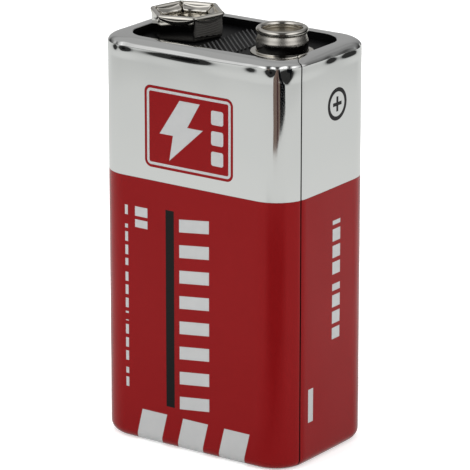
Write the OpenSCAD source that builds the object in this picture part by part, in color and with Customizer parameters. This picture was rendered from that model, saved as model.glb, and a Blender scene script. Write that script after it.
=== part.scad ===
// Nine volt battery: a wrapped tinplate jacket round six small cells, with a stud and a snap socket on top.
// The origin is at the middle of the underside. X runs across the terminals, and the front face looks to -Y.

/* [Jacket] */
// Width of the jacket, along the line of the terminals
body_w = 25.8; // [25.2:0.1:26.4]
// Depth of the jacket, from the front face to the back one
body_d = 17.3; // [16.9:0.1:17.5]
// Height of the jacket, from its foot to the top of its rim
body_h = 46.3; // [40:0.1:60]
// Outer radius of the four upright corners
corner_r = 4; // [3.6:0.1:4.2]
// Thickness of the tinplate
sheet_t = 0.25; // [0.2:0.01:0.28]
// Outer radius of the curl at the rim
rim_r = 1.2; // [0.8:0.1:1.5]
// Width of the lip on top, from the outer face to its free edge
rim_w = 2.3; // [1.9:0.1:2.7]
// Outer radius of the curl at the foot
foot_r = 1.2; // [0.8:0.1:1.5]
// Width of the lip underneath, from the outer face to its free edge
foot_w = 2.2; // [1.8:0.1:2.7]
// Width of the open line where the two ends of the wrap meet
seam_gap = 0.15; // [0.1:0.01:0.3]
// Angle of that line round the front right corner, from the right face
seam_angle = 14.5; // [14:0.5:40]
// Angle by which the lap strip behind the line reaches towards the right face
lap_near = 10; // [4:1:10]
// Angle by which the lap strip reaches towards the front face
lap_far = 25; // [4:1:30]

/* [Plates] */
// Clearance between the plates and the jacket
plate_gap = 0.05; // [0.02:0.01:0.1]
// How much larger the plates' rounded edge is than the curl it lies in
plate_ease = 0.15; // [0.1:0.01:0.25]
// Width of the plate's ledge that shows inside the top lip
ledge_w = 0.15; // [0.1:0.05:0.5]
// Depth of the top plate's floor below that ledge
recess_h = 0.7; // [0.4:0.05:1.2]
// Thickness of the top plate's floor
floor_t = 1.35; // [1:0.05:1.8]
// Height of the room for the leads, under the top plate
skirt_h = 2.05; // [1.6:0.05:3]
// Thickness of the top plate's skirt
skirt_t = 1; // [0.6:0.1:1.4]
// Thickness of the bottom plate
bottom_t = 1; // [0.7:0.1:1.3]
// Thickness of the insulating cards
card_t = 0.3; // [0.2:0.05:0.5]
// Clearance between the cards and the jacket
card_gap = 0.27; // [0.27:0.01:0.5]
// Clearance between a card's window and the lead in it
window_gap = 0.2; // [0.1:0.05:0.3]

/* [Ribs on the top plate] */
// Distance from one rib to the next, across the ribs
rib_pitch = 0.52; // [0.4:0.02:0.9]
// Width of a rib at its foot
rib_w = 0.34; // [0.2:0.02:0.38]
// Height of a rib
rib_h = 0.18; // [0.08:0.02:0.3]
// Angle of the ribs to the line of the terminals
rib_angle = 45; // [30:5:60]
// Clearance between the ribbed field and the terminals
rib_margin = 0.25; // [0.1:0.05:0.6]
// Clearance between the ribbed field and the walls of the recess
rib_inset = 0.5; // [0.3:0.1:2]

/* [Terminals] */
// Distance between the middles of the two terminals
terminal_pitch = 12.7; // [12.5:0.05:12.95]
// Thickness of the terminals' sheet
terminal_t = 0.25; // [0.2:0.01:0.3]
// Diameter of the stud's head
stud_head_d = 5.72; // [5.6:0.01:5.8]
// Diameter of the stud's neck
stud_neck_d = 5.38; // [5.2:0.01:5.45]
// Height of the stud above the floor
stud_h = 2.75; // [2.5:0.05:3]
// Radius of the rolled edge round the stud's top
stud_roll_r = 0.42; // [0.36:0.01:0.45]
// Height of the straight band on the stud's head
stud_band_h = 0.58; // [0.45:0.01:0.7]
// Height over which the head narrows to the neck
stud_taper_h = 0.4; // [0.3:0.05:0.5]
// Depth of the dish in the stud's top
dish_h = 0.45; // [0.35:0.05:0.6]
// Diameter of the stud's flange
flange_d = 7; // [6.6:0.1:7.4]
// Width of the socket across its flat sides
socket_af = 7.2; // [6.9:0.05:7.3]
// Width of the socket across its rounded corners
socket_corners = 8.1; // [7.7:0.05:8.2]
// Height of the socket above the floor
socket_h = 2.95; // [2.8:0.05:3.1]
// Direction that one flat side of the socket faces, from the line of the terminals
socket_turn = -13.2; // [-30:0.1:30]
// Radius of the bend round the socket's foot
socket_foot_r = 0.4; // [0.3:0.05:0.5]
// Outer radius of the roll at the top of each petal
petal_roll_r = 0.35; // [0.3:0.01:0.38]
// Width of the slit between two petals
petal_slit = 0.2; // [0.12:0.02:0.4]
// Radius of the rounded end of each petal
petal_end_r = 2.3; // [1.9:0.1:2.6]
// Height of the petals' free ends above the floor
petal_end_z = 1; // [0.8:0.05:1.2]
// How far the petals spread again between the grip and their free ends
petal_flare = 0.3; // [0.1:0.02:0.34]
// Diameter of the round grip that the petals form
grip_d = 5.4; // [5.3:0.02:5.5]
// Depth to which the round grip is pressed into each petal
grip_depth = 0.12; // [0.08:0.01:0.15]
// Height of the grip's lower edge above the floor
grip_z = 1.75; // [1.6:0.05:1.9]
// Height of the grip
grip_h = 0.5; // [0.35:0.05:0.55]

/* [Rivets and leads] */
// Diameter of the rivets
rivet_d = 2; // [1.6:0.1:2.4]
// Diameter of the rivets' heads
rivet_head_d = 3.4; // [3:0.1:3.8]
// Diameter of the rivets' closed ends
rivet_tail_d = 3; // [2.6:0.1:3.2]
// Thickness of the rivets' heads and of their closed ends
rivet_head_t = 0.3; // [0.2:0.05:0.5]
// Diameter of the hole up the rivets' closed ends
rivet_hole_d = 1.1; // [0.8:0.1:1.3]
// Depth of that hole
rivet_hole_h = 1; // [0.5:0.1:1.5]
// Clearance round the rivets
rivet_gap = 0.05; // [0.02:0.01:0.1]
// Width of the leads
lead_w = 3; // [2.6:0.1:3.4]
// Thickness of the leads
lead_t = 0.2; // [0.15:0.01:0.25]
// How far each lead's flat ends reach past the middles of its rivet and of its cell
lead_reach = 1.8; // [1.6:0.1:2]
// How far each lead runs past the middle of its cell before it turns down
lead_turn = 1.3; // [1.2:0.05:1.5]
// Width of the links from cell to cell
link_w = 3; // [2:0.1:3.4]
// Thickness of the links
link_t = 0.15; // [0.1:0.01:0.2]

/* [Cells] */
// Clearance between the cells and the jacket
cell_clear = 0.2; // [0.18:0.01:0.3]
// Clearance between neighbouring cells
cell_gap = 0.05; // [0.03:0.01:0.2]
// Thickness of the sleeve round each cell
sleeve_t = 0.08; // [0.05:0.01:0.12]
// Clearance between the pieces of a cell
cell_fit = 0.02; // [0.01:0.005:0.03]
// Diameter of the nub at a cell's positive end
nub_d = 3.6; // [3.2:0.1:4]
// Height of that nub
nub_h = 0.7; // [0.5:0.1:1]
// Radius of the can's shoulder round the nub
shoulder_r = 0.6; // [0.3:0.1:0.9]
// Thickness of the can's wall at its crimped end
can_t = 0.25; // [0.2:0.01:0.3]
// Width of the crimped edge
crimp_w = 0.6; // [0.5:0.05:0.8]
// Height of the crimped edge above the face of the cap
crimp_z = 0.2; // [0.15:0.05:0.3]
// Distance from the crimped edge to the bead rolled into the can
bead_z = 2.6; // [2:0.1:4]
// Radius of the bead
bead_r = 0.4; // [0.3:0.05:0.5]
// Depth of the bead
bead_depth = 0.25; // [0.15:0.01:0.3]
// Width of the seal that shows between the crimped edge and the cap
seal_w = 0.8; // [0.6:0.05:1]
// Thickness of the cap's flange, and of the seal behind it
cap_t = 0.25; // [0.2:0.01:0.3]
// Width of the cap's flange
cap_flange_w = 0.55; // [0.45:0.05:0.6]

/* [Hidden] */
$fn = 72;
// Room that a cutting shape takes beyond what it cuts
over = 1;

// Sizes of the jacket's corners: every outline is a radius about the middles of these corners
corner_x = body_w / 2 - corner_r;
corner_y = body_d / 2 - corner_r;
sheet_in = corner_r - sheet_t;

// Levels, from the foot upwards
bottom_z = sheet_t;
bottom_card_z = bottom_z + bottom_t;
bottom_link_z = bottom_card_z + card_t;
cells_z = bottom_link_z + link_t;
ledge_z = body_h - sheet_t;
floor_z = ledge_z - recess_h;
lead_z = floor_z - floor_t;
skirt_z = lead_z - skirt_h;
top_card_z = skirt_z - card_t;
cells_top = top_card_z - link_t;
cell_len = cells_top - cells_z;

// Cells: as large as two rows of three allow
cell_d = min((body_d - 2 * (sheet_t + cell_clear) - cell_gap) / 2,
             (body_w - 2 * (sheet_t + cell_clear) - 2 * cell_gap) / 3);
cell_x = body_w / 2 - sheet_t - cell_clear - cell_d / 2;
cell_y = body_d / 2 - sheet_t - cell_clear - cell_d / 2;
can_r = cell_d / 2 - sleeve_t - cell_fit;

// Cells in the order of the current from the stud: odd ones stand nub up, even ones nub down
CELLS = [
    [cell_x, -cell_y],
    [cell_x, cell_y],
    [0, cell_y],
    [0, -cell_y],
    [-cell_x, -cell_y],
    [-cell_x, cell_y],
];

// Terminals
stud_x = terminal_pitch / 2;
socket_r = socket_af / 2;
grip_face = grip_d / 2 - grip_depth;
petal_face = socket_r - 2 * petal_roll_r;
rivet_hole_r = rivet_d / 2 + rivet_gap;
rivet_seat = floor_z + terminal_t;

// Leads: one strip runs from the stud's rivet to the first cell, and the other is its half turn
lead_angle = atan2(CELLS[0][1], CELLS[0][0] - stud_x);
lead_len = norm(CELLS[0] - [stud_x, 0]);
lead_bend_r = (lead_z - cells_top) / 2;

// A flat rectangle from one corner point to the other
module box_2d(low, high) {
    translate(low) square(high - low);
}

// A ring or disc about the upright axis, between two radii and two levels
module ring(inner_r, outer_r, z0, z1) {
    rotate_extrude() box_2d([inner_r, z0], [outer_r, z1]);
}

// Sweeps a profile, drawn as radius and level, round the outline of the battery
module around() {
    spans = [corner_x, corner_y];
    for (k = [0:3]) {
        rotate([0, 0, 90 * k]) translate([spans[k % 2], spans[(k + 1) % 2], 0]) {
            rotate_extrude(angle = 90) children();
            rotate([90, 0, 0]) linear_extrude(2 * spans[(k + 1) % 2]) children();
        }
    }
}

// A block with the outline of the battery, where r is the radius of its corners
module block(r, z0, z1) {
    translate([0, 0, z0]) linear_extrude(z1 - z0) union() {
        square(2 * [corner_x + r, corner_y], center = true);
        square(2 * [corner_x, corner_y + r], center = true);
        for (x = [-corner_x, corner_x], y = [-corner_y, corner_y]) translate([x, y]) circle(r);
    }
}

// What is cut from a profile to round its outer edge; up is 1 at its top and -1 at its underside
module edge_cut(outer_r, z, edge_r, up) {
    centre = [outer_r - edge_r, z - up * edge_r];
    difference() {
        translate(centre + [(edge_r + over) / 2, up * (edge_r + over) / 2])
            square(edge_r + over, center = true);
        translate(centre) circle(edge_r);
    }
}

// Jacket

// Outline of the sheet's outer or inner side, from lip to lip
module jacket_side(r, low, high, foot, rim) {
    difference() {
        box_2d([0, low], [r, high]);
        edge_cut(r, low, foot, -1);
        edge_cut(r, high, rim, 1);
    }
}

// Profile of the bent sheet: the wall, the two curls and the two lips
module jacket_profile() {
    difference() {
        jacket_side(corner_r, 0, body_h, foot_r, rim_r);
        jacket_side(sheet_in, sheet_t, body_h - sheet_t, foot_r - sheet_t, rim_r - sheet_t);
        box_2d([-over, body_h / 2], [corner_r - rim_w, body_h + over]);
        box_2d([-over, -over], [corner_r - foot_w, body_h / 2]);
    }
}

module jacket() {
    lap_r = sheet_in - sheet_t;
    lap_z = bottom_card_z + plate_gap;
    color("firebrick") {
        difference() {
            around() jacket_profile();
            translate([corner_x, -corner_y, -over]) rotate([0, 0, -seam_angle])
                translate([0, -seam_gap / 2, 0]) cube([corner_r + over, seam_gap, body_h + 2 * over]);
        }
        translate([corner_x, -corner_y, 0]) rotate([0, 0, -seam_angle - lap_far])
            rotate_extrude(angle = lap_near + lap_far)
                box_2d([lap_r, lap_z], [sheet_in, skirt_z - plate_gap]);
    }
}

// Plates and cards

module plate_edge_top() {
    plate_r = sheet_in - plate_gap;
    difference() {
        box_2d([corner_r - rim_w - ledge_w, skirt_z], [plate_r, ledge_z]);
        edge_cut(plate_r, ledge_z, rim_r - sheet_t + plate_ease, 1);
        box_2d([0, skirt_z - over], [plate_r - skirt_t, lead_z]);
    }
}

// One rib, lying along X with its foot on the floor
module rib(length) {
    rotate([90, 0, 90]) linear_extrude(length, center = true)
        polygon([[-rib_w / 2, 0], [rib_w / 2, 0], [0, rib_h]]);
}

// Slanted ribs between the two terminals
module ribs() {
    west = -stud_x + socket_corners / 2 + rib_margin;
    east = stud_x - flange_d / 2 - rib_margin;
    depth = 2 * (corner_y + corner_r - rim_w - ledge_w - rib_inset);
    reach = norm([east - west, depth]);
    count = floor(reach / 2 / rib_pitch);
    translate([(west + east) / 2, 0, floor_z]) intersection() {
        for (k = [-count:count]) rotate([0, 0, -rib_angle]) translate([0, k * rib_pitch, 0]) rib(reach);
        translate([0, 0, rib_h / 2]) cube([east - west, depth, rib_h], center = true);
    }
}

module top_plate() {
    color("#1c1c1e") difference() {
        union() {
            around() plate_edge_top();
            block(corner_r - rim_w, lead_z, floor_z);
            ribs();
        }
        for (x = [-stud_x, stud_x]) translate([x, 0, lead_z - over])
            cylinder(r = rivet_hole_r, h = floor_t + 2 * over);
    }
}

module bottom_plate() {
    plate_r = sheet_in - plate_gap;
    edge_r = foot_r - sheet_t + plate_ease;
    core_r = corner_r - foot_w;
    color("#1c1c1e") {
        around() difference() {
            box_2d([core_r, bottom_z], [plate_r, bottom_card_z]);
            edge_cut(plate_r, bottom_z, edge_r, -1);
        }
        block(core_r, bottom_z, bottom_card_z);
    }
}

module top_insulator() {
    color("wheat") difference() {
        block(sheet_in - card_gap, top_card_z, skirt_z);
        for (turn = [0, 180]) rotate([0, 0, turn]) lead_place()
            translate([lead_len - lead_reach - window_gap, -lead_w / 2 - window_gap, top_card_z - over])
                cube([lead_reach + lead_turn + lead_bend_r + 2 * window_gap, lead_w + 2 * window_gap,
                      card_t + 2 * over]);
    }
}

module bottom_insulator() {
    color("wheat") block(sheet_in - card_gap, bottom_card_z, bottom_link_z);
}

// Terminals

module stud_profile() {
    head_r = stud_head_d / 2;
    neck_r = stud_neck_d / 2;
    wall_r = neck_r - terminal_t;
    band_z = stud_h - stud_roll_r - stud_band_h;
    fold_h = 2 * terminal_t;
    // Folded flange and the base inside it
    box_2d([rivet_hole_r, 0], [flange_d / 2 - terminal_t, terminal_t]);
    box_2d([wall_r, 0], [flange_d / 2 - terminal_t, fold_h]);
    translate([flange_d / 2 - terminal_t, terminal_t]) circle(terminal_t);
    // Wall: neck, taper and the straight band of the head
    polygon([
        [wall_r, terminal_t], [neck_r, terminal_t], [neck_r, band_z - stud_taper_h], [head_r, band_z],
        [head_r, stud_h - stud_roll_r], [wall_r, stud_h - stud_roll_r],
    ]);
    // Rolled edge and dish
    translate([head_r - stud_roll_r, stud_h - stud_roll_r]) circle(stud_roll_r);
    box_2d([0, stud_h - dish_h - terminal_t], [head_r - stud_roll_r, stud_h - dish_h]);
}

module positive_stud() {
    color("silver") translate([stud_x, 0, floor_z]) rotate_extrude() stud_profile();
}

// A six-sided solid from the profile of its width and height
module six_sided() {
    intersection() {
        rotate([90, 0, 0]) linear_extrude(2 * socket_corners, center = true) children();
        rotate([90, 0, 60]) linear_extrude(2 * socket_corners, center = true) children();
        rotate([90, 0, 120]) linear_extrude(2 * socket_corners, center = true) children();
    }
}

// Width and height of the socket's cup, with a bend of the given radius round its foot
module cup_profile(half_w, z0, z1, bend_r) {
    difference() {
        box_2d([-half_w, z0], [half_w, z1]);
        for (side = [0, 1]) mirror([side, 0]) edge_cut(half_w, z0, bend_r, -1);
    }
}

// Profile of one petal: the top of the wall, a roll over it, then a leg that narrows to the grip and spreads
module petal_profile() {
    roll_z = socket_h - petal_roll_r;
    end_face = grip_face + petal_flare;
    box_2d([socket_r - terminal_t, roll_z - petal_roll_r], [socket_r, roll_z]);
    difference() {
        translate([socket_r - petal_roll_r, roll_z]) circle(petal_roll_r);
        translate([socket_r - petal_roll_r, roll_z]) circle(petal_roll_r - terminal_t);
        box_2d([0, 0], [socket_r + over, roll_z]);
    }
    polygon([
        [petal_face, roll_z], [grip_face, grip_z + grip_h], [grip_face, grip_z], [end_face, petal_end_z],
        [end_face + terminal_t, petal_end_z], [grip_face + terminal_t, grip_z],
        [grip_face + terminal_t, grip_z + grip_h], [petal_face + terminal_t, roll_z],
    ]);
}

module petal() {
    far = socket_corners;
    half_w = (far - petal_slit) * tan(30);
    intersection() {
        rotate([90, 0, 0]) linear_extrude(far, center = true) petal_profile();
        // Sixth of the circle, less half a slit on each side
        linear_extrude(socket_h + over)
            polygon([[petal_slit, 0], [far, half_w], [far, -half_w]]);
        // Rounded free end
        translate([0, 0, petal_end_z + petal_end_r]) rotate([0, 90, 0]) cylinder(r = petal_end_r, h = far);
    }
}

module negative_socket() {
    color("silver") translate([-stud_x, 0, floor_z]) rotate([0, 0, socket_turn]) {
        difference() {
            intersection() {
                union() {
                    difference() {
                        six_sided() cup_profile(socket_r, 0, socket_h - petal_roll_r, socket_foot_r);
                        six_sided() cup_profile(socket_r - terminal_t, terminal_t, socket_h,
                                                socket_foot_r - terminal_t);
                    }
                    for (k = [0:5]) rotate([0, 0, 60 * k]) petal();
                }
                cylinder(r = socket_corners / 2, h = socket_h);
            }
            translate([0, 0, -over]) cylinder(r = rivet_hole_r, h = 2 * over);
            translate([0, 0, petal_end_z - terminal_t]) cylinder(r = grip_d / 2, h = socket_h);
        }
    }
}

module rivet() {
    tail_z = lead_z - lead_t;
    difference() {
        union() {
            ring(0, rivet_head_d / 2, rivet_seat, rivet_seat + rivet_head_t);
            ring(0, rivet_d / 2, tail_z, rivet_seat);
            ring(0, rivet_tail_d / 2, tail_z - rivet_head_t, tail_z);
        }
        translate([0, 0, tail_z - rivet_head_t - over]) cylinder(d = rivet_hole_d, h = rivet_hole_h + over);
    }
}

module positive_rivet() {
    color("gainsboro") translate([stud_x, 0, 0]) rivet();
}

module negative_rivet() {
    color("gainsboro") translate([-stud_x, 0, 0]) rivet();
}

// Leads and links

// Places a shape at the stud's rivet, with X towards the first cell
module lead_place() {
    translate([stud_x, 0, 0]) rotate([0, 0, lead_angle]) children();
}

// Strip that lies under the top plate, turns down in a half circle and returns to the cell
module lead() {
    bend_x = lead_len + lead_turn;
    bend_z = cells_top + lead_bend_r;
    lead_place() difference() {
        rotate([90, 0, 0]) linear_extrude(lead_w, center = true) {
            box_2d([-lead_reach, lead_z - lead_t], [bend_x, lead_z]);
            box_2d([lead_len - lead_reach, cells_top], [bend_x, cells_top + lead_t]);
            difference() {
                translate([bend_x, bend_z]) circle(lead_bend_r);
                translate([bend_x, bend_z]) circle(lead_bend_r - lead_t);
                box_2d([0, cells_top - over], [bend_x, lead_z + over]);
            }
        }
        translate([0, 0, lead_z - lead_t - over]) cylinder(r = rivet_hole_r, h = lead_t + 2 * over);
    }
}

module positive_lead() {
    color("gainsboro") lead();
}

module negative_lead() {
    color("gainsboro") rotate([0, 0, 180]) lead();
}

// Flat strip with round ends from the middle of one cell to the next one's
module link(from, to, z) {
    run = to - from;
    color("gainsboro") translate([from[0], from[1], z]) rotate([0, 0, atan2(run[1], run[0])])
        linear_extrude(link_t) {
            translate([0, -link_w / 2]) square([norm(run), link_w]);
            circle(d = link_w);
            translate([norm(run), 0]) circle(d = link_w);
        }
}

module bottom_link(k) {
    link(CELLS[2 * k - 2], CELLS[2 * k - 1], bottom_link_z);
}

module top_link(k) {
    link(CELLS[2 * k - 1], CELLS[2 * k], cells_top);
}

// Cells, drawn nub up with the face of the cap at zero

seal_r = can_r - can_t;
cap_r = can_r - crimp_w - seal_w;
flange_z = crimp_z + can_t;
seal_z = flange_z + cap_t;

module can_profile() {
    shoulder_z = cell_len - nub_h;
    difference() {
        union() {
            difference() {
                box_2d([0, crimp_z], [can_r, shoulder_z]);
                edge_cut(can_r, shoulder_z, shoulder_r, 1);
                edge_cut(can_r, crimp_z, can_t, -1);
            }
            box_2d([0, shoulder_z - over], [nub_d / 2, cell_len]);
        }
        box_2d([-over, 0], [can_r - crimp_w, seal_z]);
        box_2d([-over, flange_z], [seal_r, seal_z + cap_t]);
        translate([can_r + bead_r - bead_depth, crimp_z + bead_z]) circle(bead_r);
    }
}

module seal_profile() {
    hole_r = cap_r + cell_fit;
    box_2d([0, seal_z], [seal_r - cell_fit, seal_z + cap_t]);
    box_2d([hole_r + cap_flange_w, flange_z], [seal_r - cell_fit, seal_z]);
    box_2d([hole_r, crimp_z], [can_r - crimp_w - cell_fit, flange_z]);
}

module cap_profile() {
    box_2d([0, flange_z], [cap_r + cap_flange_w, seal_z]);
    box_2d([0, 0], [cap_r, flange_z]);
}

module sleeve_profile() {
    box_2d([can_r + cell_fit, crimp_z], [cell_d / 2, cell_len - nub_h - shoulder_r]);
}

// Stands a revolved profile at the place of cell k, nub up or nub down
module at_cell(k) {
    place = CELLS[k - 1];
    down = k % 2 == 0;
    translate([place[0], place[1], down ? cells_top : cells_z]) mirror([0, 0, down ? 1 : 0])
        rotate_extrude() children();
}

module cell_can(k) {
    color("lightsteelblue") at_cell(k) can_profile();
}

module cell_seal(k) {
    color("ivory") at_cell(k) seal_profile();
}

module cell_cap(k) {
    color("goldenrod") at_cell(k) cap_profile();
}

module cell_sleeve(k) {
    color("seagreen") at_cell(k) sleeve_profile();
}

jacket();
top_plate();
bottom_plate();
positive_stud();
negative_socket();
positive_rivet();
negative_rivet();
positive_lead();
negative_lead();
top_insulator();
bottom_insulator();
for (k = [1:2]) top_link(k);
for (k = [1:3]) bottom_link(k);
for (k = [1:6]) {
    cell_can(k);
    cell_seal(k);
    cell_cap(k);
    cell_sleeve(k);
}
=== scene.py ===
from math import cos, exp, hypot, pi, radians, sin, sqrt, tan

import bpy
from mathutils import Matrix, Vector


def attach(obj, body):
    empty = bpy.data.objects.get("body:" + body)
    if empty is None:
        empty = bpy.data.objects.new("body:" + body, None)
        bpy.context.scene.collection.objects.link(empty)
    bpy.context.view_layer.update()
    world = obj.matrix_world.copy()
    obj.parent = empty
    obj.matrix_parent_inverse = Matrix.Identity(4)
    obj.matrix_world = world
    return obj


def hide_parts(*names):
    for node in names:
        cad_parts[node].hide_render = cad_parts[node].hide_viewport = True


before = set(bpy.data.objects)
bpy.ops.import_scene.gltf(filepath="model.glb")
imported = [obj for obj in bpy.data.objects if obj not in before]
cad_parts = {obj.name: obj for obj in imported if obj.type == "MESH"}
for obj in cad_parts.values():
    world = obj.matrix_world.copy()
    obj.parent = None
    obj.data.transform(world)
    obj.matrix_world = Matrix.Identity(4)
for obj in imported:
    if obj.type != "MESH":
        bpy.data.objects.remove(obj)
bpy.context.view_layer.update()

# Sizes are in millimetres and angles in degrees, unless a comment says otherwise
MM = 0.001

# The body as the solids have it, with its corners and the middles of their arcs
BODY_W, BODY_D = 25.8, 17.3
CORNER_R, SHEET_T = 4.0, 0.25
CORNER_X, CORNER_Y = BODY_W / 2 - CORNER_R, BODY_D / 2 - CORNER_R

# Curl at the foot, with the width of its lip, and the width of the lip at the rim
CURL_R, FOOT_W, RIM_W = 1.2, 2.2, 2.3

# The wrap's open line, round the front right corner from the right face, and half its width
SEAM_ANGLE, SEAM_HALF = 13.6, 1.25

# The sunken floor, and the terminals on it
FLOOR_Z, TERMINAL_X, TERMINAL_T = 45.35, 6.35, 0.25
RIVET_HOLE_R = 1.05

# Bearing of the fitted camera from the front face, and its height, in radians
AZIMUTH, ELEVATION = radians(35.129), radians(17.319)


# Node fields

class Field:
    """A number that varies over a surface: a socket of a node tree, with arithmetic."""

    def __init__(self, tree, socket):
        self.tree, self.socket = tree, socket

    def op(self, kind, *others, clamp=False):
        node = self.tree.nodes.new("ShaderNodeMath")
        node.operation, node.use_clamp = kind, clamp
        for slot, value in zip(node.inputs, (self, *others)):
            if isinstance(value, Field):
                self.tree.links.new(value.socket, slot)
            else:
                slot.default_value = value
        return Field(self.tree, node.outputs[0])

    def __add__(self, other):
        return self.op("ADD", other)

    def __sub__(self, other):
        return self.op("SUBTRACT", other)

    def __mul__(self, other):
        return self.op("MULTIPLY", other)

    def line(self, scale, offset, clamp=False):
        return self.op("MULTIPLY_ADD", scale, offset, clamp=clamp)

    def least(self, other):
        return self.op("MINIMUM", other)

    def most(self, other):
        return self.op("MAXIMUM", other)

    def size(self):
        return self.op("ABSOLUTE")

    def fract(self):
        return self.op("FRACT")

    def mask(self, soft=0.03):
        """1 where the field is above zero, 0 where it is below, with a soft edge."""
        return self.line(1 / soft, 0.5, clamp=True)

    def ramp(self, low, high):
        """0 at low, 1 at high, and straight between them."""
        return self.line(1 / (high - low), -low / (high - low), clamp=True)


def inside(a, low, high):
    """Distance inside a strip, below zero outside it."""
    return (a.line(1, -(low + high) / 2)).size().line(-1, (high - low) / 2)


def rectangle(a, b, low, high):
    """Distance inside a rectangle between two opposite corners."""
    return inside(a, low[0], high[0]).least(inside(b, low[1], high[1]))


def rounded(a, b, low, high, r):
    """Distance inside a rectangle with rounded corners."""
    qa = inside(a, low[0], high[0]).line(-1, r)
    qb = inside(b, low[1], high[1]).line(-1, r)
    pa, pb = qa.most(0.0), qb.most(0.0)
    outer = (pa * pa + pb * pb).op("SQRT")
    return (outer + qa.most(qb).least(0.0)).line(-1, r)


def circle(a, b, centre, r):
    """Distance inside a circle."""
    da, db = a.line(1, -centre[0]), b.line(1, -centre[1])
    return (da * da + db * db).op("SQRT").line(-1, r)


def convex(a, b, points):
    """Distance inside a convex outline whose corners run counter-clockwise."""
    result = None
    for (a0, b0), (a1, b1) in zip(points, points[1:] + points[:1]):
        run = hypot(a1 - a0, b1 - b0)
        na, nb = -(b1 - b0) / run, (a1 - a0) / run
        side = a.line(na, -na * a0 - nb * b0) + b * nb
        result = side if result is None else result.least(side)
    return result


def dashes(a, pitch, share, shift=0.0):
    """Distance inside the dashes of a broken line along a, each of which fills the share of its pitch."""
    return inside(a.line(1 / pitch, shift).fract(), 0.0, share) * pitch


def union(shapes):
    """What lies inside any of the shapes."""
    result = shapes[0]
    for shape in shapes[1:]:
        result = result.most(shape)
    return result


def camera_axes(x, y):
    """How far a place lies towards the photo's camera, and how far to its right."""
    return x * sin(AZIMUTH) + y * -cos(AZIMUTH), x * cos(AZIMUTH) + y * sin(AZIMUTH)


# Materials

def new_material(name, **values):
    """A material with the values on its shader's own inputs, and its node tree and shader."""
    material = bpy.data.materials.new(name)
    material.use_nodes = True
    tree = material.node_tree
    shader = tree.nodes["Principled BSDF"]
    for key, value in values.items():
        shader.inputs[key].default_value = value
    return material, tree, shader


def place(tree):
    """The place on the object, in millimetres, as three fields."""
    coords = tree.nodes.new("ShaderNodeTexCoord")
    split = tree.nodes.new("ShaderNodeSeparateXYZ")
    tree.links.new(coords.outputs["Object"], split.inputs[0])
    return [Field(tree, split.outputs[k]) * 1000.0 for k in range(3)]


def noise(tree, scale, detail=2.0, stretch=(1, 1, 1), rough=0.5):
    """Noise with a grain of about 1 / scale metres."""
    coords = tree.nodes.new("ShaderNodeTexCoord")
    mapping = tree.nodes.new("ShaderNodeMapping")
    mapping.inputs["Scale"].default_value = stretch
    texture = tree.nodes.new("ShaderNodeTexNoise")
    texture.inputs["Scale"].default_value = scale
    texture.inputs["Detail"].default_value = detail
    texture.inputs["Roughness"].default_value = rough
    tree.links.new(coords.outputs["Object"], mapping.inputs["Vector"])
    tree.links.new(mapping.outputs[0], texture.inputs["Vector"])
    return Field(tree, texture.outputs["Fac"])


def blend(tree, factor, first, second):
    """Colour that goes from first to second with the factor; each is a colour or a socket."""
    node = tree.nodes.new("ShaderNodeMix")
    node.data_type = "RGBA"
    tree.links.new(factor.socket, node.inputs[0])
    for slot, value in ((node.inputs[6], first), (node.inputs[7], second)):
        if hasattr(value, "default_value"):
            tree.links.new(value, slot)
        else:
            slot.default_value = (*value, 1)
    return node.outputs[2]


def relief(tree, shader, *layers):
    """Bumps made of (field, height in metres) pairs, one on the other."""
    below = None
    for field, height in layers:
        node = tree.nodes.new("ShaderNodeBump")
        node.inputs["Strength"].default_value = 1
        node.inputs["Distance"].default_value = height
        tree.links.new(field.socket, node.inputs["Height"])
        if below:
            tree.links.new(below, node.inputs["Normal"])
        below = node.outputs[0]
    tree.links.new(below, shader.inputs["Normal"])


def link(tree, source, slot):
    """Links a field or a socket to the slot."""
    tree.links.new(source.socket if isinstance(source, Field) else source, slot)


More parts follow.
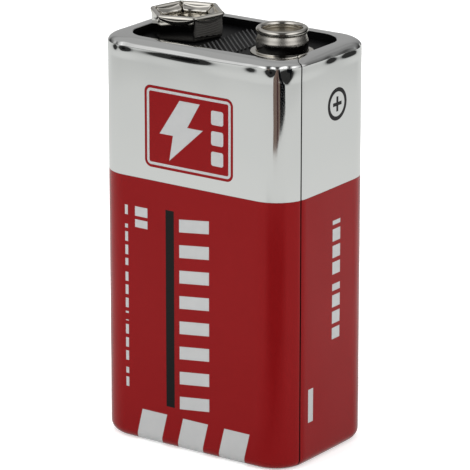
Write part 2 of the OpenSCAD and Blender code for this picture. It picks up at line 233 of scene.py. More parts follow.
def printed_tin():
    """Bright tinplate with red, black and silver-white print. Every field of print is a plain shape."""
    material, tree, shader = new_material("printed_tin", IOR=1.45, **{"Specular IOR Level": 0.27})
    x, y, z = place(tree)
    front = (y * -1.0).mask(0.5)
    right = x.mask(0.5)

    def on_front(shape):
        return shape.mask() * front

    # Front, in (x, z): eight slanted bars in place of the type's name, and a broken line for the small words
    words_low, words_high, slant = (-1.33, 4.8), (2.67, 28.35), -0.12
    pitch = (words_high[1] - words_low[1]) / 8
    step = (z.line(1 / pitch, -words_low[1] / pitch) + x * (slant / pitch)).fract()
    bars = inside(step, 0.10, 0.60) * pitch
    words = on_front(bars.least(rectangle(x, z, words_low, words_high)))
    line = dashes(z, 1.55, 0.72).least(dashes(z, 5.6, 0.86, 0.35))
    small_words = on_front(line.least(rectangle(x, z, (-8.75, 6.1), (-8.35, 27.6))))
    blocks = on_front(union([
        rectangle(x, z, (-7.35, low), (-5.65, high)) for low, high in ((25.1, 26.0), (26.4, 27.5))
    ]))

    # Front, below: three slanted blocks that run on over the foot
    foot = on_front(union([
        convex(x, z, [(left, -1.0), (left + 3.4, -1.0), (left + 4.6, 3.9), (left + 1.2, 3.9)])
        for left in (-7.7, -2.1, 3.5)
    ]))

    # Front, above: a panel on the bright part, with a border, a bolt and three squares
    panel = rounded(x, z, (-5.93, 32.4), (5.9, 41.7), 0.85)
    bolt = union([
        convex(x, z, [(1.5, 40.5), (-1.2, 40.5), (-3.9, 36.4), (-0.9, 36.4)]),
        convex(x, z, [(-1.9, 37.6), (-2.6, 33.5), (1.9, 37.6)]),
    ])
    squares = union([rounded(x, z, (3.0, low), (4.6, low + 1.6), 0.25) for low in (33.9, 36.2, 38.5)])
    panel_white = on_front(union([inside(panel, 0.32, 0.62), bolt, squares]))

    # Right face, in (y, z): a broken strip in place of words, and a bare strip
    origin = dashes(z, 1.9, 0.74).least(dashes(z, 7.3, 0.88, 0.17))
    origin = origin.least(rectangle(y, z, (0.35, 13.4), (1.85, 27.8))).mask() * right
    stub = rectangle(y, z, (-4.2, 4.95), (-3.27, 8.8)).mask() * right

    white = union([words, small_words, blocks, foot, panel_white, origin, stub])
    red_top = 30.86
    red = z.line(-1, red_top).mask().most(on_front(panel))

    # Black: the long bar, and the marks of the poles, in rings on the two narrow faces
    bar = on_front(rectangle(x, z, (-3.18, 4.9), (-2.04, 27.8)))
    mark_y, mark_z, ring_r, ring_w, reach, half_stroke = 1.06, 40.2, 1.84, 0.46, 0.84, 0.2

    def stroke(middle, half_wide, half_high):
        low, high = (middle - half_wide, mark_z - half_high), (middle + half_wide, mark_z + half_high)
        return rectangle(y, z, low, high)

    def minus(middle):
        ring = inside(circle(y, z, (middle, mark_z), ring_r), 0.0, ring_w)
        return ring.most(stroke(middle, reach, half_stroke))

    plus = minus(mark_y).most(stroke(mark_y, half_stroke, reach))
    black = union([bar, plus.mask() * right, minus(-mark_y).mask() * right.line(-1, 1)])

    # The ink is a little uneven
    speck = noise(tree, 900, 4)
    cloud = noise(tree, 160, 2)
    red_ink = blend(tree, cloud, (0.236, 0.0034, 0.0046), (0.262, 0.0046, 0.0062))
    white_ink = blend(tree, speck, (0.50, 0.51, 0.51), (0.56, 0.56, 0.56))
    bare = blend(tree, cloud, (0.79, 0.80, 0.79), (0.82, 0.82, 0.81))
    colour = blend(tree, white, blend(tree, red, bare, red_ink), white_ink)
    link(tree, blend(tree, black, colour, (0.0015, 0.0012, 0.0012)), shader.inputs["Base Color"])

    # The red is a clear lacquer, so some of the tin's shine comes through it
    ink = red.most(white).most(black)
    link(tree, ink.line(-0.7, 1) - black * 0.3, shader.inputs["Metallic"])
    link(tree, cloud.line(0.03, 0.045) + ink * 0.12, shader.inputs["Roughness"])

    # Streaks along the rim, left by the rolls that turned it
    along_x = noise(tree, 420, 3, (0.10, 1, 1))
    along_y = noise(tree, 420, 3, (1, 0.10, 1))
    on_side = (x.size() - y.size()).line(1, -3.8).ramp(-0.6, 0.6)
    streaks = (along_x * on_side.line(-1, 1) + along_y * on_side) * z.ramp(45.7, 46.1)
    relief(tree, shader, (cloud, 4e-6), (noise(tree, 1500, 2), 4e-7), (ink, 6e-6), (streaks, 2.6e-5))
    return material


def nickel(name, warm, rough, grain=(1, 1, 1), height=1.2e-6, stud=False):
    """Nickel-plated sheet: warm grey, with fine tool marks. stud adds what only the stud has."""
    material, tree, shader = new_material(name, Metallic=1)
    marks = noise(tree, 700, 5, grain, 0.6)
    cloud = noise(tree, 300, 2)
    colour = blend(tree, cloud, tuple(v * 0.90 for v in warm), warm)
    roughness = marks.line(0.08, rough - 0.04)
    if stud:
        x, y, z = place(tree)
        f = FLOOR_Z
        # The dish's colour is darkened and browned as painted shade in its hollow; the dish and the cone
        # under the roll are dull
        dish = circle(x, y, (TERMINAL_X, 0), 2.2).least(inside(z, f + 1.7, f + 2.4)).mask(0.12)
        colour = blend(tree, dish, colour, tuple(v * k for v, k in zip(warm, (0.42, 0.39, 0.33))))
        cone = circle(x, y, (TERMINAL_X, 0), 3.1).least(inside(z, f + 1.15, f + 2.35)).mask(0.3)
        roughness = roughness + dish.most(cone) * 0.26
        # Painted shade: the flange is painted nearly black in front, beside the corner of the rim, where the
        # rim shades it
        aside = x.line(0.82, -0.82 * TERMINAL_X) + y * 0.57
        ahead = x.line(0.57, -0.57 * TERMINAL_X) - y * 0.82
        flange_painted_shade = inside(aside, -0.9, 2.7).mask(0.35).least(ahead.ramp(0.3, 1.1))
        flange_painted_shade = flange_painted_shade.least(z.ramp(f + 0.28, f + 0.2))
        colour = blend(tree, flange_painted_shade, colour, tuple(v * 0.05 for v in warm))
    link(tree, colour, shader.inputs["Base Color"])
    link(tree, roughness, shader.inputs["Roughness"])
    relief(tree, shader, (marks, height), (noise(tree, 4200, 2), height / 3))
    return material


def plastic(name, dark, light, rough, grain=2600, height=5e-6, level=0.25, painted_rib_highlight=None):
    """Moulded plastic with a fine grain. Its last argument is (low, high, colour) for a painted highlight: a
    paler colour on the tops of the ribs.
    """
    material, tree, shader = new_material(name, **{"Specular IOR Level": level})
    fine = noise(tree, grain, 3, rough=0.6)
    cloud = noise(tree, 260, 3)
    colour = blend(tree, cloud, dark, light)
    # Painted highlight: the tops of the ribs are given a paler colour
    if painted_rib_highlight:
        x, y, z = place(tree)
        low, high, pale = painted_rib_highlight
        tops = z.ramp(low, high).least(rectangle(x, y, (-2.3, -5.4), (2.9, 5.4)).mask(0.1))
        colour = blend(tree, tops.least(z.line(-1, high + 0.1).mask()), colour, pale)
    link(tree, colour, shader.inputs["Base Color"])
    link(tree, fine.line(0.14, rough - 0.07), shader.inputs["Roughness"])
    relief(tree, shader, (fine, height), (cloud, height))
    return material


def fibre_card():
    """Kraft fibre card: long fibres and dark flecks."""
    material, tree, shader = new_material("fibre_card", **{"Specular IOR Level": 0.15})
    fibres = noise(tree, 500, 6, (1, 5, 1), 0.7)
    flecks = noise(tree, 2200, 2).ramp(0.66, 0.74)
    body = blend(tree, fibres, (0.42, 0.29, 0.15), (0.62, 0.47, 0.29))
    link(tree, blend(tree, flecks, body, (0.20, 0.12, 0.06)), shader.inputs["Base Color"])
    link(tree, fibres.line(0.2, 0.7), shader.inputs["Roughness"])
    relief(tree, shader, (fibres, 1.2e-5))
    return material


def shrink_sleeve():
    """Green shrink film, glossy where it is stretched tight."""
    material, tree, shader = new_material("shrink_sleeve", **{"Specular IOR Level": 0.5})
    wrinkles = noise(tree, 220, 4, (1, 1, 3), 0.55)
    green = blend(tree, wrinkles, (0.008, 0.085, 0.045), (0.014, 0.14, 0.07))
    link(tree, green, shader.inputs["Base Color"])
    link(tree, wrinkles.line(0.2, 0.15), shader.inputs["Roughness"])
    relief(tree, shader, (wrinkles, 1.5e-5))
    return material


# Meshes

def make_piece(name, points, faces, material, edge=40):
    """A closed mesh from points in millimetres, smooth but for edges sharper than the angle."""
    mesh = bpy.data.meshes.new(name)
    mesh.from_pydata([tuple(v * MM for v in p) for p in points], [], faces)
    mesh.validate()
    mesh.update()
    mesh.shade_smooth()
    mesh.set_sharp_from_angle(angle=radians(edge))
    mesh.materials.append(material)
    piece = bpy.data.objects.new(name, mesh)
    bpy.context.scene.collection.objects.link(piece)
    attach(piece, "root")
    return piece


def arc(centre, r, start, end, count):
    """Points of an arc, with angles in degrees from the first axis."""
    return [
        (centre[0] + r * cos(radians(a)), centre[1] + r * sin(radians(a)))
        for a in (start + (end - start) * k / count for k in range(count + 1))
    ]


def curve_through(points, count):
    """A smooth curve through the points, in count steps for each span."""
    result = []
    for k in range(len(points) - 1):
        p0, p1 = points[max(k - 1, 0)], points[k]
        p2, p3 = points[k + 1], points[min(k + 2, len(points) - 1)]
        for j in range(count):
            t = j / count
            result.append(tuple(
                0.5 * (2 * b + (c - a) * t
                       + (2 * a - 5 * b + 4 * c - d) * t * t
                       + (3 * b - a - 3 * c + d) * t ** 3)
                for a, b, c, d in zip(p0, p1, p2, p3)
            ))
    return result + [points[-1]]


def offset_line(line, distance):
    """The line moved to its left by the distance, each point along its own normal."""
    result = []
    for k, p in enumerate(line):
        a, b = line[max(k - 1, 0)], line[min(k + 1, len(line) - 1)]
        run = hypot(b[0] - a[0], b[1] - a[1])
        result.append((p[0] - (b[1] - a[1]) / run * distance, p[1] + (b[0] - a[0]) / run * distance))
    return result


def bell(value, middle, width):
    """1 at the middle, and down to about a third one width away."""
    return exp(-(((value - middle) / width) ** 2))


def smooth(value, low, high):
    """0 below low, 1 above high, with an easy rise between them."""
    t = min(max((value - low) / (high - low), 0), 1)
    return t * t * (3 - 2 * t)


def outline_path(start):
    """Samples round the battery, counter-clockwise from the angle: (middle x, middle y, normal angle)."""
    corner_steps, wide_steps, narrow_steps = 30, 44, 26
    corners = [(CORNER_X, -CORNER_Y), (CORNER_X, CORNER_Y), (-CORNER_X, CORNER_Y), (-CORNER_X, -CORNER_Y)]
    path = []
    spans = [(start, 0), (0, 90), (90, 180), (180, 270), (270, 360 - SEAM_ANGLE * 2 - start)]
    for k, (a0, a1) in enumerate(spans):
        cx, cy = corners[k % 4]
        count = max(4, round(corner_steps * (a1 - a0) / 90))
        for j in range(count + 1):
            path.append((cx, cy, a0 + (a1 - a0) * j / count))
        if k < 4:
            nx, ny = corners[(k + 1) % 4]
            steps = narrow_steps if k % 2 == 0 else wide_steps
            for j in range(1, steps):
                path.append((cx + (nx - cx) * j / steps, cy + (ny - cy) * j / steps, a1))
    return path


# Profile of the neck and the rim, as (distance in from the wall, level)
RIM_LINE = [
    (0.0, 45.38), (0.0, 45.43), (0.02, 45.47), (0.065, 45.54), (0.125, 45.63), (0.22, 45.75), (0.36, 45.88),
    (0.56, 46.01), (0.82, 46.12), (1.12, 46.2), (1.45, 46.26), (1.75, 46.29), (2.05, 46.3), (2.22, 46.285),
    (2.31, 46.23),
]

# Folds of the neck at each corner, counter-clockwise from the back right: how far round the corner,
# from 0 to 1, then the width as a share of the corner, the depth, and the level where the fold starts
FOLDS = (
    ((0.30, 0.08, 0.10, 44.6), (0.66, 0.08, 0.10, 44.6)),
    ((0.35, 0.09, 0.10, 44.5), (0.72, 0.07, 0.08, 44.7)),
    ((0.82, 0.035, 0.10, 44.7), (1.0, 0.05, 0.09, 44.9)),
    ((0.27, 0.065, 0.12, 44.7), (0.55, 0.09, 0.19, 43.9)),
)

# Dips of the neck along each side, by the angle of the side's normal: the depth, the middle, and the
# widths before and after the middle
DIPS = {
    0: ((0.08, -0.2, 0.9, 0.9), (0.10, 3.4, 1.3, 1.3)),
    90: ((0.06, 1.0, 3.0, 3.0),),
    180: ((0.05, -1.0, 1.6, 1.6),),
    270: ((0.10, 0.3, 4.4, 2.1), (0.05, 8.2, 0.6, 0.6), (0.10, -8.9, 0.75, 0.75)),
}


def neck_lean(cx, cy, angle, z):
    """How much further in the neck stands at this place round the rim."""
    if angle in DIPS:
        along = cx if angle % 180 == 90 else cy
        depth = sum(
            deep * bell(along, middle, before if along < middle else after)
            for deep, middle, before, after in DIPS[angle]
        )
        return depth * smooth(z, 44.9, 45.42) * (1 - smooth(z, 45.5, 46.0))
    # The sheet is gathered into folds round a corner, and they are narrower further down
    turn = (angle % 90) / 90
    depth = 0.0
    for middle, width, deep, foot in FOLDS[int(angle % 360 // 90)]:
        share = 0.35 + 0.65 * smooth(z, foot, 45.35)
        depth += deep * bell(turn, middle, width * share) * smooth(z, foot, 45.45)
    return depth * (1 - smooth(z, 45.5, 46.1))


def wall_wave(cx, cy, angle, z):
    """How far out the sheet stands at this place: a little hollow at the sides' ends, and not quite even."""
    along, half = (cx, CORNER_X) if angle % 180 == 90 else (cy, CORNER_Y)
    hollow = (along / half) ** 2 if angle % 90 == 0 else 1
    ripple = 0.006 * sin(along * 0.9 + z * 0.31 + angle) + 0.004 * sin(z * 0.8 + angle * 2.0)
    return (-0.035 * hollow + ripple * smooth(z, 1.0, 4.0)) * (1 - smooth(z, 44.0, 45.0) * 0.6)


def seam_shift(cx, cy, angle, s, r):
    """The sample moved along the rim: the cut in the lip runs slantwise, not square to the outline."""
    slope, straight, reach_front, reach_side = 0.42, 0.2, 2.3, 5.0
    shift = slope * max(0.0, s - straight)
    if shift == 0 or (cx, angle) == (CORNER_X, 270) or not (angle > 270 or angle <= 0):
        return cx, cy, angle
    turn = radians(angle - 360 if angle > 180 else angle)
    run = r * turn if turn < 0 else cy + CORNER_Y
    seam = -radians(SEAM_ANGLE) * r
    run += shift * max(0.0, 1 - abs(run - seam) / (reach_front if run < seam else reach_side)) ** 2
    if run <= 0:
        return CORNER_X, -CORNER_Y, run / r * 180 / pi
    return CORNER_X, -CORNER_Y + run, 0


def jacket_skin(material, edge_material):
    """The bent sheet: wall, neck, rolled rim with its crowned lip, and the curl at the foot."""
    # The foot's lip, its curl, the wall, and closer steps up to the neck
    outer = [(FOOT_W - k * 0.25, 0.0) for k in range(4)]
    outer += arc((CURL_R, CURL_R), CURL_R, -90, -180, 10)
    outer += [(0.0, CURL_R + k * 0.9) for k in range(1, 47)]
    outer += [(0.0, 43.5 + k * 0.1) for k in range(1, 18)]
    outer += curve_through(RIM_LINE, 3)
    inner = offset_line(outer, -SHEET_T)
    path = outline_path(-SEAM_ANGLE + SEAM_HALF)

    def sheet_point(index, s, z):
        """Place of the profile's point (s, z) at one sample of the path."""
        cx, cy, angle = path[index]
        from_cut = min(index, len(path) - 1 - index)
        tuck = (0.05, 0.012)[from_cut] if from_cut < 2 else 0.0
        inward = s + neck_lean(cx, cy, angle, z) - wall_wave(cx, cy, angle, z) + tuck * smooth(z, 0.3, 1.5)
        # The lip's own corners are rounder, so it is wider across them
        on_rim = z > 45
        ease = 1.15 * smooth(s, 0.6, RIM_W) if on_rim else 0.0
        r = CORNER_R - inward + ease
        mx, my, turned = seam_shift(cx, cy, angle, s, r) if on_rim else (cx, cy, angle)
        mx, my = mx * (1 - ease / CORNER_X), my * (1 - ease / CORNER_Y)
        a = radians(turned)
        # The lip on the right lies a little lower towards its free edge, and lowest beside the cut
        dip = 0.09 * max(0, cos(a)) * s / RIM_W * smooth(z, 45.3, 46.1)
        if index < len(path) // 2:
            dip += 0.07 * bell(index, 0, 3) * smooth(z, 45.6, 46.2)
        # The neck lies higher round the near corner
        near = max(0, cx / CORNER_X) * max(0, 0.5 - cy / CORNER_Y / 2)
        rise = (0.10 + 0.22 * near) * smooth(z, 44.6, 45.4) * (1 - smooth(z, 45.55, 46.25))
        return (mx + r * cos(a), my + r * sin(a), z - dip + rise)

    points = [
        sheet_point(index, s, z) for side in (outer, inner) for index in range(len(path)) for s, z in side
    ]
    rows, n = len(outer), len(path)
    back = rows * n
    faces, cut = [], []
    for i in range(n - 1):
        for j in range(rows - 1):
            a, b = i * rows + j, (i + 1) * rows + j
            faces.append((a, b, b + 1, a + 1))
            faces.append((back + a, back + a + 1, back + b + 1, back + b))
        for j in (0, rows - 1):
            a, b = i * rows + j, (i + 1) * rows + j
            quad = (a, back + a, back + b, b)
            cut.append(len(faces))
            faces.append(quad if j == 0 else quad[::-1])
    for i in (0, n - 1):
        for j in range(rows - 1):
            a = i * rows + j
            quad = (a, a + 1, back + a + 1, back + a)
            cut.append(len(faces))
            faces.append(quad if i == 0 else quad[::-1])
    piece = make_piece("jacket_skin", points, faces, material, 50)
    piece.data.materials.append(edge_material)
    for index in cut:
        piece.data.polygons[index].material_index = 1
    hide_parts("jacket")


def lap_strip(material):
    """The strip behind the open line of the wrap, from under the plate to the foot."""
    far, near, steps = -SEAM_ANGLE - 25, -SEAM_ANGLE + 10, 14
    low, high, gap = 1.35, 41.9, 0.03
    r_out, r_in = CORNER_R - SHEET_T - gap, CORNER_R - 2 * SHEET_T - gap
    points, faces = [], []
    for k in range(steps + 1):
        a = radians(far + (near - far) * k / steps)
        for r, z in ((r_in, low), (r_out, low), (r_out, high), (r_in, high)):
            points.append((CORNER_X + r * cos(a), -CORNER_Y + r * sin(a), z))
    for k in range(steps):
        for j in range(4):
            a, b = 4 * k + j, 4 * k + (j + 1) % 4
            faces.append((a, a + 4, b + 4, b))
    faces += [(0, 1, 2, 3), tuple(4 * steps + j for j in (3, 2, 1, 0))]
    make_piece("jacket_lap", points, faces, material, 30)


def revolve(name, line, x, material, steps=112):
    """A closed ring about the upright axis at x, from a closed profile of (radius, level)."""
    points = [
        (x + r * cos(2 * pi * k / steps), r * sin(2 * pi * k / steps), z)
        for k in range(steps) for r, z in line
    ]
    rows = len(line)
    faces = []
    for k in range(steps):
        m = (k + 1) % steps
        for j in range(rows):
            i = (j + 1) % rows
            faces.append((k * rows + j, m * rows + j, m * rows + i, k * rows + i))
    return make_piece(name, points, faces, material, 50)


def stud_line():
    """Profile of the stud: base, folded flange, neck, tapered head, rolled edge and dish, and back."""
    f = FLOOR_Z
    head, roll = 2.89, 0.35
    top = f + 2.8
    line = [(RIVET_HOLE_R, f), (3.42, f), (3.49, f + 0.03), (3.5, f + 0.07), (3.48, f + 0.12)]
    line += [(3.42, f + 0.14), (3.2, f + 0.145), (2.98, f + 0.15)]
    line += arc((2.98, f + 0.25), 0.10, -90, -180, 5)[1:]
    line += [(2.88, f + 0.5), (2.882, f + 0.9), (2.885, f + 1.27), (2.884, f + 1.31), (2.872, f + 1.35)]
    cone = [(2.86, f + 1.39), (2.80, f + 1.56), (2.73, f + 1.78), (2.65, f + 1.98), (2.6, f + 2.1)]
    line += curve_through(cone, 4)
    line += arc((head - roll, top - roll), roll, -70, 180, 34)
    dish = [
        (2.185, top - 0.42), (2.17, top - 0.50), (2.11, top - 0.58), (1.98, top - 0.63), (1.75, top - 0.645),
    ]
    line += curve_through(dish, 3)
    line += [(1.0, top - 0.65), (0.02, top - 0.655), (0.02, top - 0.88), (1.9, top - 0.85)]
    line += [(2.3, top - 0.70), (2.40, top - 0.85), (2.42, f + 0.2), (RIVET_HOLE_R, f + 0.2)]
    return line


def socket_mesh(material):
    """The socket: one sheet, from its base up a six-sided wall and over it into six petals."""
    # The wall: half its width across the flats, its corners, how much wider it is at the top, and its foot
    turn, half_af, corner_r, lean, foot_r, top = radians(-13.2), 3.57, 0.34, -0.13, 0.42, 2.95
    # The angle below its widest place at which the roll over the wall's top leaves the wall
    undercut = radians(52)
    # The petals: their grip, its level, their rounded ends, and half the slit between two of them
    grip_r, grip_z, end_r, end_low, half_slit = 2.7, 1.75, 2.3, 1.0, 0.10
    half_petal, widest, flare = 1.5, 1.62, 0.30
    per_side = 26
    taus = [-1 + 2 * j / per_side for j in range(per_side + 1)]
    points, faces, ring_rows = [], [], []

    def wall_point(tau, n_shift):
        """Point and normal of the rounded hexagon at tau, -1 to 1 across a side, moved in by n_shift."""
        flat = (half_af - corner_r) * tan(pi / 6)
        run = tau * (flat + corner_r * pi / 6)
        if abs(run) <= flat:
            n, t, bend = half_af, run, 0.0
        else:
            bend = (abs(run) - flat) / corner_r
            n = half_af - corner_r + corner_r * cos(bend)
            t = flat + corner_r * sin(bend)
            t, bend = (t, bend) if run > 0 else (-t, -bend)
        return n - n_shift * cos(bend), t - n_shift * sin(bend)

    def to_xyz(k, n, t, z):
        """A place n out from the axis and t along side k."""
        a = turn + k * pi / 3
        return (-TERMINAL_X + n * cos(a) - t * sin(a), n * sin(a) + t * cos(a), FLOOR_Z + z)

    def roll_size(tau):
        """Half width and height of the roll over the wall: tall in the middle of a side, low at its ends."""
        middle = cos(tau * pi / 2) ** 0.8 if abs(tau) < 1 else 0.0
        return 0.29 + 0.03 * middle, 0.16 + 0.34 * middle

    def wall_end(tau):
        """Level at which the roll starts."""
        return top - 0.03 * (1 - cos(tau * pi / 2)) - roll_size(tau)[1] * (1 + sin(undercut))

    def roll_middle(tau):
        """How far in from the flat side the middle of the roll lies."""
        return lean + roll_size(tau)[0] * cos(undercut)

    def base(k, tau, share):
        n, t = wall_point(tau, foot_r)
        spread = hypot(n, t)
        r = RIVET_HOLE_R + (spread - RIVET_HOLE_R) * share
        return to_xyz(k, n * r / spread, t * r / spread, 0.0)

    def foot(k, tau, angle):
        n, t = wall_point(tau, foot_r * (1 - sin(radians(angle))))
        return to_xyz(k, n, t, foot_r * (1 - cos(radians(angle))))

    def wall(k, tau, share):
        n, t = wall_point(tau, lean * share)
        return to_xyz(k, n, t, foot_r + (wall_end(tau) - foot_r) * share)

    def crest(k, tau, angle):
        half, high = roll_size(tau)
        n, t = wall_point(tau, roll_middle(tau) - half * cos(radians(angle)))
        return to_xyz(k, n, t, wall_end(tau) + high * (sin(undercut) + sin(radians(angle))))

    def petal(k, tau, stage):
        """A point of a petal: over the roll's inner half up to stage 1, then down to its end at stage 2."""
        half, high = roll_size(tau)
        n0, t0 = wall_point(tau, roll_middle(tau))
        mid_n, mid_z = half_af - roll_middle(tau), wall_end(tau) + high * sin(undercut)
        if stage <= 1:
            a = radians(90 + 90 * stage)
            n = mid_n + half * cos(a) + (n0 - mid_n) * (1 - stage)
            z = mid_z + high * sin(a)
        else:
            across = tau * half_petal
            end_z = end_low + end_r - sqrt(max(end_r ** 2 - across ** 2, 0))
            z = mid_z + (end_z - mid_z) * (stage - 1)
            grip = max(sqrt(grip_r ** 2 - min(across, 1.4) ** 2), 2.56)
            n = grip + (mid_n - half - grip) * smooth(z, 2.1, max(mid_z, 2.2))
            if z < grip_z:
                n += flare * ((grip_z - z) / (grip_z - end_low)) ** 1.2
        limit = n * tan(pi / 6) - half_slit * min(1, stage * 1.5) / cos(pi / 6)
        t = tau * min(limit, widest)
        if stage < 1:
            t = t0 * (1 - stage) + t * stage
        return to_xyz(k, n, t, z)

    # Rings of points: the base from the rivet's hole outwards, the foot's bend, the wall and the roll
    rings = [(base, share) for share in (0.0, 0.25, 0.5, 0.75, 1.0)]
    rings += [(foot, angle) for angle in (18, 36, 54, 72, 90)]
    rings += [(wall, share) for share in (0.2, 0.4, 0.6, 0.8, 0.92, 1.0)]
    rings += [(crest, angle) for angle in (-42, -28, -12, 4, 20, 36, 52, 68, 80, 90)]
    count = 6 * per_side
    for maker, stage in rings:
        ring_rows.append(range(len(points), len(points) + count))
        points += [maker(k, tau, stage) for k in range(6) for tau in taus[:-1]]
    for low, high in zip(ring_rows, ring_rows[1:]):
        for j in range(count):
            m = (j + 1) % count
            faces.append((low[j], low[m], high[m], high[j]))

    stages = [0.17, 0.34, 0.5, 0.67, 0.84, 1.0] + [1 + j / 12 for j in range(1, 13)]
    for k in range(6):
        above = [ring_rows[-1][(k * per_side + j) % count] for j in range(per_side + 1)]
        for stage in stages:
            row = range(len(points), len(points) + len(taus))
            points += [petal(k, tau, stage) for tau in taus]
            for j in range(per_side):
                faces.append((above[j], above[j + 1], row[j + 1], row[j]))
            above = row
    piece = make_piece("socket_shell", points, faces, material, 55)
    shell = piece.modifiers.new("sheet", "SOLIDIFY")
    shell.thickness = TERMINAL_T * MM * 0.9
    shell.offset = -1
    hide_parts("negative_socket")


# Camera and room

def add_camera():
    """The camera that was fitted to the photo's outline."""
    back = Vector((sin(AZIMUTH) * cos(ELEVATION), -cos(AZIMUTH) * cos(ELEVATION), sin(ELEVATION)))
    right = Vector((cos(AZIMUTH), sin(AZIMUTH), 0))
    up = back.cross(right)
    target = Vector((0, 0, 24)) + right * 0.064 - up * 0.702
    distance = 423.261
    data = bpy.data.cameras.new("camera")
    data.lens, data.sensor_width, data.clip_start = 291.08, 36, 0.01
    camera = bpy.data.objects.new("camera", data)
    stand = Matrix.Translation((target + back * distance) * MM)
    camera.matrix_world = stand @ Matrix((right, up, back)).transposed().to_4x4()
    bpy.context.scene.collection.objects.link(camera)
    bpy.context.scene.camera = camera


def ray_kind(tree, name):
    """1 for rays of the kind, 0 for others."""
    return Field(tree, tree.nodes.new("ShaderNodeLightPath").outputs[name])


def add_floor():
    """A plain pale floor. What metal sees of it falls off with the distance, as the end of a table does."""
    half_m = 3
    corners = [(-half_m, -half_m, 0), (half_m, -half_m, 0), (half_m, half_m, 0), (-half_m, half_m, 0)]
    mesh = bpy.data.meshes.new("floor")
    mesh.from_pydata(corners, [], [(0, 1, 2, 3)])
    floor = bpy.data.objects.new("floor", mesh)
    bpy.context.scene.collection.objects.link(floor)
    material, tree, shader = new_material("floor", Roughness=0.9, **{"Specular IOR Level": 0.0})
    grain = noise(tree, 60, 2)
    link(tree, blend(tree, grain, (0.80, 0.80, 0.80), (0.83, 0.83, 0.83)), shader.inputs["Base Color"])
    x, y, _ = place(tree)
    far = (x * x + y * y).op("SQRT")
    ahead, to_right = camera_axes(x, y)
    # The far end of the table is dark in front and at the sides, and stays pale behind the object
    front = (ahead + far * 0.78).ramp(0, 60)
    fall = (far.ramp(160, 185) * 0.1 + far.ramp(185, 250) * 0.56) * front
    level = (far.ramp(60, 160).line(-0.08, 0.77) - fall) * far.ramp(14, 60).line(0.3, 0.7)
    # Something dark stood in front of the near corner
    dark = (ahead * 0.62 - to_right.size()).ramp(0.0, 24.0) * far.ramp(116, 104)
    level = level * dark.line(-0.8, 1)
    glow = tree.nodes.new("ShaderNodeEmission")
    glow.inputs["Color"].default_value = (0.985, 1, 0.985, 1)
    link(tree, level, glow.inputs["Strength"])
    # The camera sees the floor as nearly white, with the object's shadow on it
    lift = tree.nodes.new("ShaderNodeEmission")
    lift.inputs["Color"].default_value = (1, 1, 1, 1)
    link(tree, ray_kind(tree, "Is Camera Ray") * 0.45, lift.inputs["Strength"])
    both = tree.nodes.new("ShaderNodeAddShader")
    tree.links.new(shader.outputs[0], both.inputs[0])
    tree.links.new(lift.outputs[0], both.inputs[1])
    mix = tree.nodes.new("ShaderNodeMixShader")
    shine = ray_kind(tree, "Is Glossy Ray").most(ray_kind(tree, "Is Transmission Ray"))
    link(tree, shine, mix.inputs[0])
    tree.links.new(both.outputs[0], mix.inputs[1])
    tree.links.new(glow.outputs[0], mix.inputs[2])
    tree.links.new(mix.outputs[0], tree.nodes["Material Output"].inputs["Surface"])
    floor.data.materials.append(material)


def around_camera(bearing, elevation, distance):
    """A place at a bearing from the camera's, with the elevation and the distance from the origin."""
    a, e = AZIMUTH + radians(bearing), radians(elevation)
    return (distance * sin(a) * cos(e), -distance * cos(a) * cos(e), distance * sin(e))


def add_card(name, bearing, span, near, reach, colour, height, taper=1.0):
    """A card that lies on the floor for metal alone to see, about a bearing from the camera's.

    It goes from near to reach over the span of bearings, and has the taper's share of it at the near end.
    """
    steps, shoulder = 12, 15
    points = []
    for r, wide in ((near, taper), (near + shoulder, 1), (reach, 1)):
        for k in range(steps + 1):
            a = AZIMUTH + radians(bearing + span * (wide * k / steps - 0.5))
            points.append((r * sin(a) * MM, -r * cos(a) * MM, height * MM))
    faces = [(k, k + 1, k + steps + 2, k + steps + 1) for k in range(2 * steps + 1) if k != steps]
    mesh = bpy.data.meshes.new(name)
    mesh.from_pydata(points, [], faces)
    material = bpy.data.materials.new(name)
    material.use_nodes = True
    tree = material.node_tree
    tree.nodes.remove(tree.nodes["Principled BSDF"])
    glow = tree.nodes.new("ShaderNodeEmission")
    shade = noise(tree, 25, 2)
    link(tree, blend(tree, shade, tuple(v * 0.8 for v in colour), colour), glow.inputs["Color"])
    tree.links.new(glow.outputs[0], tree.nodes["Material Output"].inputs["Surface"])
    mesh.materials.append(material)
    card = bpy.data.objects.new(name, mesh)
    bpy.context.scene.collection.objects.link(card)
    card.visible_camera = card.visible_diffuse = card.visible_shadow = False
    card.visible_transmission = False


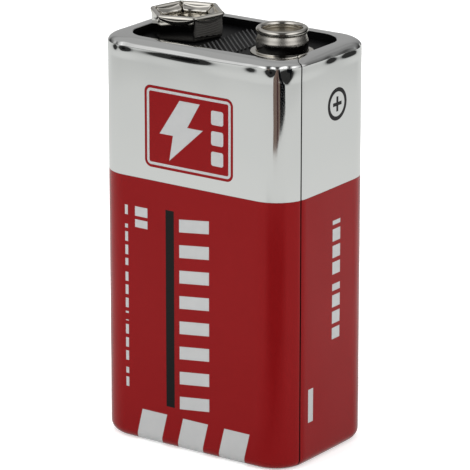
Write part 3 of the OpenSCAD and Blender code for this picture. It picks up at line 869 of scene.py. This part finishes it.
def add_world():
    """White for the camera, even light for matt surfaces, and a studio's light and dark for metal."""
    world = bpy.data.worlds.new("studio")
    world.use_nodes = True
    bpy.context.scene.world = world
    tree = world.node_tree
    coords = tree.nodes.new("ShaderNodeTexCoord")
    split = tree.nodes.new("ShaderNodeSeparateXYZ")
    tree.links.new(coords.outputs["Generated"], split.inputs[0])
    ahead, to_right = camera_axes(Field(tree, split.outputs[0]), Field(tree, split.outputs[1]))
    aside = to_right.size()
    rise = Field(tree, split.outputs[2])
    # Metal sees two wide bright sides in front, a dark gap between them and a dim room behind
    sides = (aside.ramp(0.16, 0.42) - aside.ramp(0.60, 0.75) * 0.65) * rise.ramp(0.70, 0.86).line(-0.6, 1)
    front = ahead.ramp(-0.35, 0.15)
    dim = (front * aside.ramp(0.16, 0.42).line(-1, 1)).line(-0.33, 0.41)
    metal_sees = rise.ramp(sin(radians(10)), sin(radians(32))) * (dim + sides * front)
    # A bright box stands on each side
    boxes = aside.ramp(0.5, 0.62) * aside.ramp(0.93, 0.86) * ahead.ramp(0.1, 0.3)
    boxes = boxes * rise.ramp(0.12, 0.26) * rise.ramp(0.8, 0.6)
    metal_sees = metal_sees.most(ahead.ramp(-0.75, -0.9) * 0.36).most(boxes * 0.95)
    # The room is darker behind on the right
    metal_sees = metal_sees * (to_right.ramp(0.08, 0.4) * ahead.ramp(-0.2, -0.5)).line(-0.45, 1)
    glossy = ray_kind(tree, "Is Glossy Ray").most(ray_kind(tree, "Is Transmission Ray"))
    camera = ray_kind(tree, "Is Camera Ray")
    plain, least = 0.78, 0.006
    strength = glossy * (metal_sees.line(1, least - plain)) + camera * (1 - plain)
    background = tree.nodes["Background"]
    background.inputs["Color"].default_value = (1, 1, 1, 1)
    link(tree, strength.line(1, plain), background.inputs["Strength"])


def add_lamp(name, place_mm, size_mm, power):
    """A square lamp that shines on the battery's middle and that metal doesn't see."""
    data = bpy.data.lights.new(name, "AREA")
    data.shape, data.size, data.energy = "SQUARE", size_mm * MM, power
    lamp = bpy.data.objects.new(name, data)
    at, aim = Vector(place_mm) * MM, Vector((0, 0, 30)) * MM
    lamp.matrix_world = Matrix.Translation(at) @ (aim - at).to_track_quat("-Z", "Y").to_matrix().to_4x4()
    lamp.visible_glossy = False
    bpy.context.scene.collection.objects.link(lamp)


add_camera()
add_floor()
add_world()
add_card("brown_card", 0, 20, 134, 420, (0.20, 0.145, 0.12), height=1.0, taper=0.55)
add_card("dark_strip", 2.5, 4, 136, 420, (0.07, 0.035, 0.035), height=1.4)
add_card("black_card", 17, 15, 146, 420, (0.004, 0.005, 0.006), height=1.2, taper=0.15)
add_lamp("overhead", (-120, -60, 650), 450, 1.1)
add_lamp("left_box", around_camera(-62, 42, 600), 260, 0.9)
add_lamp("right_box", around_camera(58, 42, 600), 260, 0.9)

tin = printed_tin()
terminal_metal = nickel("nickel_terminal", (0.76, 0.73, 0.67), 0.07, height=2.5e-7, stud=True)
MATERIALS = {
    "jacket": tin,
    # The plate's rib tops carry a painted highlight
    "plate": plastic("black_plate", (0.0024, 0.0024, 0.0026), (0.0036, 0.0036, 0.0040), 0.4, height=1.2e-6,
                     level=0.08, painted_rib_highlight=(FLOOR_Z + 0.05, FLOOR_Z + 0.17, (0.10, 0.10, 0.102))),
    "terminal": terminal_metal,
    "strip": nickel("nickel_strip", (0.70, 0.69, 0.66), 0.28, (1, 6, 1)),
    "card": fibre_card(),
    "can": nickel("nickel_can", (0.66, 0.66, 0.65), 0.24, (1, 1, 0.15)),
    "seal": plastic("nylon_seal", (0.62, 0.60, 0.52), (0.72, 0.70, 0.62), 0.45, 1800, 6e-6, 0.4),
    "cap": nickel("nickel_cap", (0.72, 0.70, 0.65), 0.22),
    "sleeve": shrink_sleeve(),
}

# Which material a solid gets, by the last of these words in its name
WORDS = {
    "jacket": "jacket", "plate": "plate", "stud": "terminal", "socket": "terminal", "rivet": "terminal",
    "lead": "strip", "link": "strip", "insulator": "card", "can": "can", "seal": "seal", "cap": "cap",
    "sleeve": "sleeve",
}
for name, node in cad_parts.items():
    word = next(w for w in reversed(name.split("_")) if w in WORDS)
    made = MATERIALS[WORDS[word]]
    if node.material_slots:
        for material_slot in node.material_slots:
            material_slot.material = made
    else:
        node.data.materials.append(made)

# Small bevels on the solids whose moulded or struck edges are round
BEVELS = {"top_plate": 0.05, "bottom_plate": 0.08, "positive_rivet": 0.06, "negative_rivet": 0.06}
for name, width in BEVELS.items():
    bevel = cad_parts[name].modifiers.new("edge", "BEVEL")
    bevel.width, bevel.segments, bevel.limit_method, bevel.angle_limit = width * MM, 2, "ANGLE", radians(50)

jacket_skin(tin, nickel("cut_edge", (0.16, 0.15, 0.14), 0.45, height=2e-6))
# The lap strip is the sheet's dull, unprinted inner side; its near-black colour is painted shade in the gap
# behind the open line
lap_strip(nickel("lap_sheet_dull_painted_shade", (0.05, 0.035, 0.035), 0.5, height=2e-6))
stud = revolve("stud_shell", stud_line(), TERMINAL_X, terminal_metal)
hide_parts("positive_stud")
socket_mesh(terminal_metal)

scene = bpy.context.scene
scene.view_settings.view_transform = "Standard"
